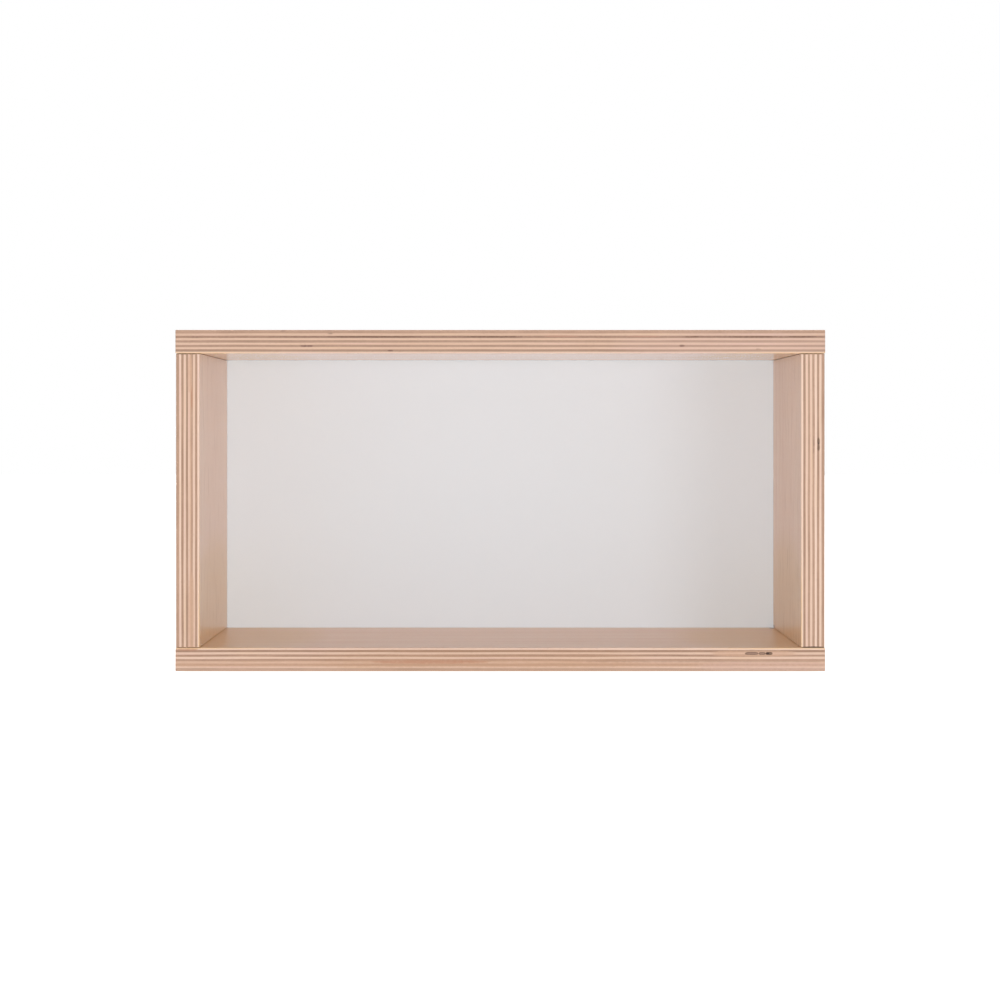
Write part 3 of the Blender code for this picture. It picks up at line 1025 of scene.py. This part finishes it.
def white_facing():
    material, shader, start = open_finish("satin_white")
    place = coordinates(start, "Object")
    rear = coordinates(start, "Normal")[Y].smooth(0.2, 0.8)
    ripple = noise(stretched(place, RIPPLE))
    mottle = noise(stretched(place, MOTTLE))
    colour = mix(rear, mix(mottle, *COOL_WHITES), mix(mottle, *PLAIN_WHITES))
    rough = 0.46 + ripple * 0.08
    relief = bump(ripple, 0.12, RIPPLE_HEIGHT)
    fill(shader, {"Base Color": colour, "Roughness": rough, "Normal": relief, "IOR": 1.5})
    return material


dress("back_panel", white_facing())

# %% [markdown]
# ## Dowels
#
# Sixteen fluted beech dowels hold the corners and the rail. They are glued in and nearly hidden, so
# the construction's own solids stay. Their grain runs along the dowel, so the finish needs its axis.

# %% Dowel wood
DOWEL_STREAK = 0.5 * MM
DOWEL_STREAK_LENGTH = 18 * MM
DOWEL_END = (0.5, 0.8)


def dowel_finish(name, axis):
    material, shader, start = open_finish(name)
    on_end = abs(coordinates(start, "Normal")[axis]).smooth(*DOWEL_END)
    sizes = [DOWEL_STREAK] * 3
    sizes[axis] = DOWEL_STREAK_LENGTH
    streak = noise(stretched(coordinates(start, "Object"), sizes), 3.0)
    wood = mix(streak, WARM_BEECH, PALE_BEECH)
    wood = mix(on_end, wood, PALE_END)
    fill(shader, {"Base Color": wood, "Roughness": 0.55 + streak * 0.15})
    return material


upright_dowel = dowel_finish("dowel_upright", Z)
level_dowel = dowel_finish("dowel_level", X)
for node in dowel_holes:
    dress(node, level_dowel if node.startswith("rail") else upright_dowel)

# %% [markdown]
# ## Hanger plates
#
# Two stamped steel plates with keyholes hang the shelf on wall screws. A flat curve is the natural
# way to draw a stamping: the outline, the keyhole and the screw holes are splines of one curve,
# and the curve's own bevel gives the slightly rolled edge that a punch leaves. It is then made
# a mesh, so that it can be turned to face the wall and countersunk.

# %% Zinc-plated steel
ROLLING = (12 * MM, 0.3 * MM, 0.25 * MM)
ROLLING_HEIGHT = 0.02 * MM


def zinc_finish(name, spangles, dull, bright):
    """Zinc-plated steel with so many spangles in a metre, in two greys."""
    material, shader, start = open_finish(name)
    place = coordinates(start, "Object")
    cells = join(*place).then("ShaderNodeTexVoronoi", values={"Scale": spangles})
    shade = cells["Color"].split()[X]
    rolled = noise(stretched(place, ROLLING), 3.0)
    colour = mix(shade, dull, bright)
    relief = bump(rolled, 0.2, ROLLING_HEIGHT)
    rough = 0.28 + shade * 0.12 + rolled * 0.1
    fill(shader, {"Base Color": colour, "Roughness": rough, "Metallic": 1.0, "Normal": relief})
    return material


plate_zinc = zinc_finish("plate_zinc", 420.0, (0.50, 0.51, 0.52), (0.66, 0.67, 0.675))
screw_zinc = zinc_finish("screw_zinc", 1500.0, (0.34, 0.34, 0.35), (0.44, 0.44, 0.45))
print("zinc finishes:", plate_zinc.name, screw_zinc.name)

# %% Draw a plate
PLATE_CORNER = 4 * MM
KEYHOLE_ENTRY = 5 * MM
KEYHOLE_SLOT = 2.5 * MM
ARC_STEPS = 12


def arc(centre, radius, start, end):
    """Points on an arc, with its angles in degrees."""
    shares = [step / ARC_STEPS for step in range(ARC_STEPS + 1)]
    angles = [math.radians(start + (end - start) * share) for share in shares]
    return [centre + radius * Vector((math.cos(a), math.sin(a))) for a in angles]


def plate_outline(half_length, half_height):
    points = []
    for turn, (right, up) in enumerate([(1, 1), (-1, 1), (-1, -1), (1, -1)]):
        centre = Vector((right * (half_length - PLATE_CORNER), up * (half_height - PLATE_CORNER)))
        points += arc(centre, PLATE_CORNER, 90 * turn, 90 * turn + 90)
    return points


def keyhole_outline():
    """Round entry below, narrow slot above, drawn clockwise because it is a hole."""
    neck = math.degrees(math.asin(KEYHOLE_SLOT / KEYHOLE_ENTRY))
    entry = arc(Vector((0, -KEYHOLE_TRAVEL / 2)), KEYHOLE_ENTRY, 90 - neck, -270 + neck)
    slot = arc(Vector((0, KEYHOLE_TRAVEL / 2)), KEYHOLE_SLOT, 180, 0)
    return entry + slot


print("keyhole:", len(keyhole_outline()), "points")

# %% Stamp the plates
ROLLED_EDGE = 0.25 * MM
ROLL_STEPS = 2
SCREW_HOLE = 1.9 * MM
SINK_RADIUS = 3.5 * MM
SINK_DEPTH = 1.7 * MM
SINK_START = 0.05 * MM  # the cutter begins a hair above the face, so that no skin is left


def stamped_plate(side):
    """One plate, drawn flat, made a mesh, turned to face the wall and countersunk."""
    low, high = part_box(f"{side}_hanger_plate")
    half = (high - low) / 2
    middle = middle_of(f"{side}_hanger_plate")
    screws = [middle_of(f"{side}_hanger_screw_{which}") for which in ("outer", "inner")]
    outlines = [plate_outline(half.x, half.z), keyhole_outline()]
    for screw in screws:
        outlines.append(arc(Vector((screw.x - middle.x, 0)), SCREW_HOLE, 360, 0)[:-1])
    curve = bpy.data.curves.new("plate", "CURVE")
    curve.dimensions = "2D"
    curve.fill_mode = "BOTH"
    curve.extrude = half.y - ROLLED_EDGE
    curve.bevel_depth = ROLLED_EDGE
    curve.bevel_resolution = ROLL_STEPS
    curve.offset = -ROLLED_EDGE
    for points in outlines:
        spline = curve.splines.new("POLY")
        spline.points.add(len(points) - 1)
        spline.use_cyclic_u = True
        for point, place in zip(spline.points, points):
            point.co = (*place, 0, 1)
    mesh = close_up(settle(bpy.data.objects.new("plate", curve)))
    mesh.transform(Matrix.Translation(middle) @ Matrix.Rotation(math.pi / 2, 4, "X"))
    sinks = []
    for screw in screws:
        face = Vector((screw.x, high.y + SINK_START, screw.z))
        sinks.append(rod(face, face - Vector((0, SINK_DEPTH, 0)), SINK_RADIUS, SCREW_HOLE))
    return cut(mesh, sinks)


for side in ("left", "right"):
    plate = stamped_plate(side)
    hand_over(f"{side}_hanger", plate, plate_zinc, "zinc_steel", f"{side}_hanger_plate")

# %% [markdown]
# ## Screws
#
# Four countersunk cross-head screws hold the plates. They are the same screw four times, so it is
# turned once, with its recess cut by two crossed bars, and a tree places it on four points. On a
# real shelf no two screws stop at the same angle, so each instance is turned by a seeded amount.

# %% One screw, with its head at the origin
SCREW_LENGTH = 10 * MM
HEAD_RIM = 0.2 * MM
HEAD = 3.3 * MM
SHANK = 1.7 * MM
TIP = 3 * MM
RECESS_LENGTH = 3.8 * MM
RECESS_WIDTH = 0.9 * MM
RECESS_DEPTH = 1.2 * MM
TURN_STEPS = 32


def screw_mesh():
    """A screw that points along -Y, turned about its axis and then given its recess."""
    head = [(0, 0), (HEAD, 0), (HEAD, -HEAD_RIM), (SHANK, SHANK - HEAD - HEAD_RIM)]
    tip = [(SHANK, TIP - SCREW_LENGTH), (0, -SCREW_LENGTH)]
    shape = bmesh.new()
    points = [shape.verts.new((radius, along, 0)) for radius, along in head + tip]
    edges = [shape.edges.new(pair) for pair in zip(points, points[1:])]
    bmesh.ops.spin(shape, geom=points + edges, axis=(0, 1, 0), steps=TURN_STEPS, angle=2 * math.pi)
    turned = close_up(shape_mesh("screw", shape))
    bars = []
    for x, z in ((RECESS_LENGTH, RECESS_WIDTH), (RECESS_WIDTH, RECESS_LENGTH)):
        corner = Vector((x / 2, RECESS_DEPTH, z / 2))
        bars.append(block(-corner, corner))
    return cut(turned, bars)


print("one screw:", len(screw_mesh().polygons), "faces")

# %% Four screws on four points
SCREW_SEED = 7


def screw_tree():
    """The same screw on every point, each turned about its axis by its own amount."""
    tree, given = open_tree("placed_screws", {"Screw": "Object", "Seed": "Int", "Finish": "Material"})
    screw = given["Screw"].then("GeometryNodeObjectInfo")
    most = 3  # the socket that holds the upper limit of a plain number
    values = {most: 2 * math.pi, "Seed": given["Seed"]}
    angle = given.node("FunctionNodeRandomValue", {"data_type": "FLOAT"}, values, output=1)
    turn = angle.node("ShaderNodeCombineXYZ", values={Y: angle})
    values = {"Instance": screw["Geometry"], "Rotation": turn}
    close_tree(given["Geometry"].then("GeometryNodeInstanceOnPoints", values=values), given["Finish"])
    return tree


screw_nodes = [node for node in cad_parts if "screw" in node]
places = [(middle_of(node).x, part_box(node)[1].y, middle_of(node).z) for node in screw_nodes]
heads = bpy.data.meshes.new("heads")
heads.from_pydata(places, [], [])
one_screw = bpy.data.objects.new("screw", screw_mesh())
values = {"Screw": one_screw, "Seed": SCREW_SEED, "Finish": screw_zinc}
screws = grow(screw_tree(), heads, values)
hand_over("hanger_screws", screws, screw_zinc, "zinc_steel", *screw_nodes)

# %% [markdown]
# ## Floor and light
#
# The shelf is shown on white, with no shadow round it, as on a light table. A floor and a sky that
# really shone that white would drown the lamp and flatten the inside of the box. So both have two
# strengths, and a Light Path node picks one: full white for what the camera sees directly, and a
# much weaker glow for the light that falls on the shelf. The floor lies a few millimetres under the
# shelf and can be seen through from below, so that the underside can be looked at too.

# %% A glow with two strengths
WHITE = (1.0, 1.0, 1.0)


def two_strengths(start, falling):
    """White to the camera, and only this share of white as light on the shelf."""
    direct = start.node("ShaderNodeLightPath", output="Is Camera Ray")
    return mix(direct, [falling] * 3, WHITE)


print("what the camera sees directly is", WHITE)

# %% Floor
FLOOR_SIZE = 12.0
FLOOR_DROP = 3 * MM
FLOOR_BACK = FLOOR_SIZE / 8
FLOOR_GLOW = 0.326
FLOOR_GREYS = (0.62, 0.62, 0.62), (0.64, 0.64, 0.64)
FLOOR_CLOUD = 0.8


def floor_finish():
    material, shader, start = open_finish("floor_white")
    x, y, _ = coordinates(start, "Object")
    cloud = noise(join(x / FLOOR_CLOUD, y / FLOOR_CLOUD, 0.0))
    from_below = start.node("ShaderNodeNewGeometry", output="Backfacing")
    fill(shader, {
        "Base Color": mix(cloud, *FLOOR_GREYS),
        "Roughness": 0.9,
        "Alpha": 1 - from_below,
        "Emission Color": two_strengths(start, FLOOR_GLOW),
        "Emission Strength": 1.0,
    })
    return material


shape = bmesh.new()
bmesh.ops.create_grid(shape, x_segments=1, y_segments=1, size=FLOOR_SIZE / 2)
floor = bpy.data.objects.new("floor", shape_mesh("floor", shape))
floor.location = (0, FLOOR_BACK, -FLOOR_DROP)
floor.data.materials.append(floor_finish())
scene.collection.objects.link(floor)
floor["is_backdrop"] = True
print("floor:", FLOOR_SIZE, "m square")

# %% Sky
SKY_GLOW = 0.392


def light_sky():
    sky = bpy.data.worlds.new("sky")
    sky.use_nodes = True
    colour = two_strengths(Term(sky.node_tree), SKY_GLOW)
    fill(sky.node_tree.nodes["Background"], {"Color": colour, "Strength": 1.0})
    return sky


scene.world = light_sky()
scene.view_settings.view_transform = "Standard"
print("sky:", SKY_GLOW)

# %% [markdown]
# ## Lamps
#
# A small lamp straight in front, near the height of the shelf, reaches the back panel evenly, because
# the sides hardly shade it. A weaker one on its right makes the left wall a little brighter than
# the right one, and one overhead lights the top. Two low ones stand behind for the rear, which
# only shows from other sides.

# %% Lamps
Lamp = namedtuple("Lamp", "name place size power")
LAMPS = [
    Lamp("front_lamp", (0.0, -3.1, 0.11), (0.34, 0.16), 38.2),
    Lamp("right_lamp", (1.2, -2.9, 0.18), (0.8, 0.34), 8.1),
    Lamp("top_lamp", (0.0, 0.7, 2.2), (1.4, 0.8), 26.0),
    Lamp("rear_left_lamp", (-1.5, 2.2, 0.1), (0.9, 0.2), 10.0),
    Lamp("rear_right_lamp", (1.5, 2.2, 0.1), (0.9, 0.2), 10.0),
]
LIT_POINT = (Vector(construction_box[0]) + Vector(construction_box[1])) / 2


def light_lamp(lamp):
    """A soft rectangle that faces the shelf and stays out of the picture."""
    data = bpy.data.lights.new(lamp.name, "AREA")
    data.shape = "RECTANGLE"
    data.size, data.size_y = lamp.size
    data.energy = lamp.power
    made = bpy.data.objects.new(lamp.name, data)
    made.location = lamp.place
    made.rotation_euler = (LIT_POINT - made.location).to_track_quat("-Z", "Y").to_euler()
    made.visible_camera = False
    scene.collection.objects.link(made)


for lamp in LAMPS:
    light_lamp(lamp)
    print(lamp.name, "gives", lamp.power, "W")

# %% [markdown]
# ## Camera
#
# The edges of the box run to one vanishing point, so the camera looks straight at the back panel and
# its height is where those edges meet. How much smaller the back looks than the front gives the
# distance. The frame is centred elsewhere than the eye, which a lens shift does without tilting.

# %% Place the camera
IMAGE_SIDE = 1000
SENSOR = 36.0
PIXEL = 0.6385 * MM  # one pixel on the plane of the front edges
EYE_X, EYE_Y = 500.0, 429.0  # the pixel where the edges of the box would meet
BOX_MIDDLE_X = 500.3
BOX_BOTTOM_Y = 671.3
EYE_DISTANCE = 1.7458
camera_data = bpy.data.cameras.new("camera")
camera_data.sensor_width = SENSOR
camera_data.lens = SENSOR * EYE_DISTANCE / (IMAGE_SIDE * PIXEL)
camera_data.shift_y = (EYE_Y - IMAGE_SIDE / 2) / IMAGE_SIDE
camera = bpy.data.objects.new("camera", camera_data)
camera.location.x = (EYE_X - BOX_MIDDLE_X) * PIXEL
camera.location.y = front - EYE_DISTANCE
camera.location.z = (BOX_BOTTOM_Y - EYE_Y) * PIXEL
camera.rotation_euler = (math.pi / 2, 0, 0)
scene.collection.objects.link(camera)
scene.camera = camera
print("camera at", camera.location, "with a lens of", round(camera_data.lens, 2), "mm")

# %% [markdown]
# ## Print the boxes and finish
#
# Dressing must not change the shelf's size, so both boxes are printed side by side.

# %% Print the sizes and close
boxes = {"cad": construction_box, "visual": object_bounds()}
sizes = {name: [[float(value) for value in corner] for corner in box] for name, box in boxes.items()}
print("sizes:", sizes)
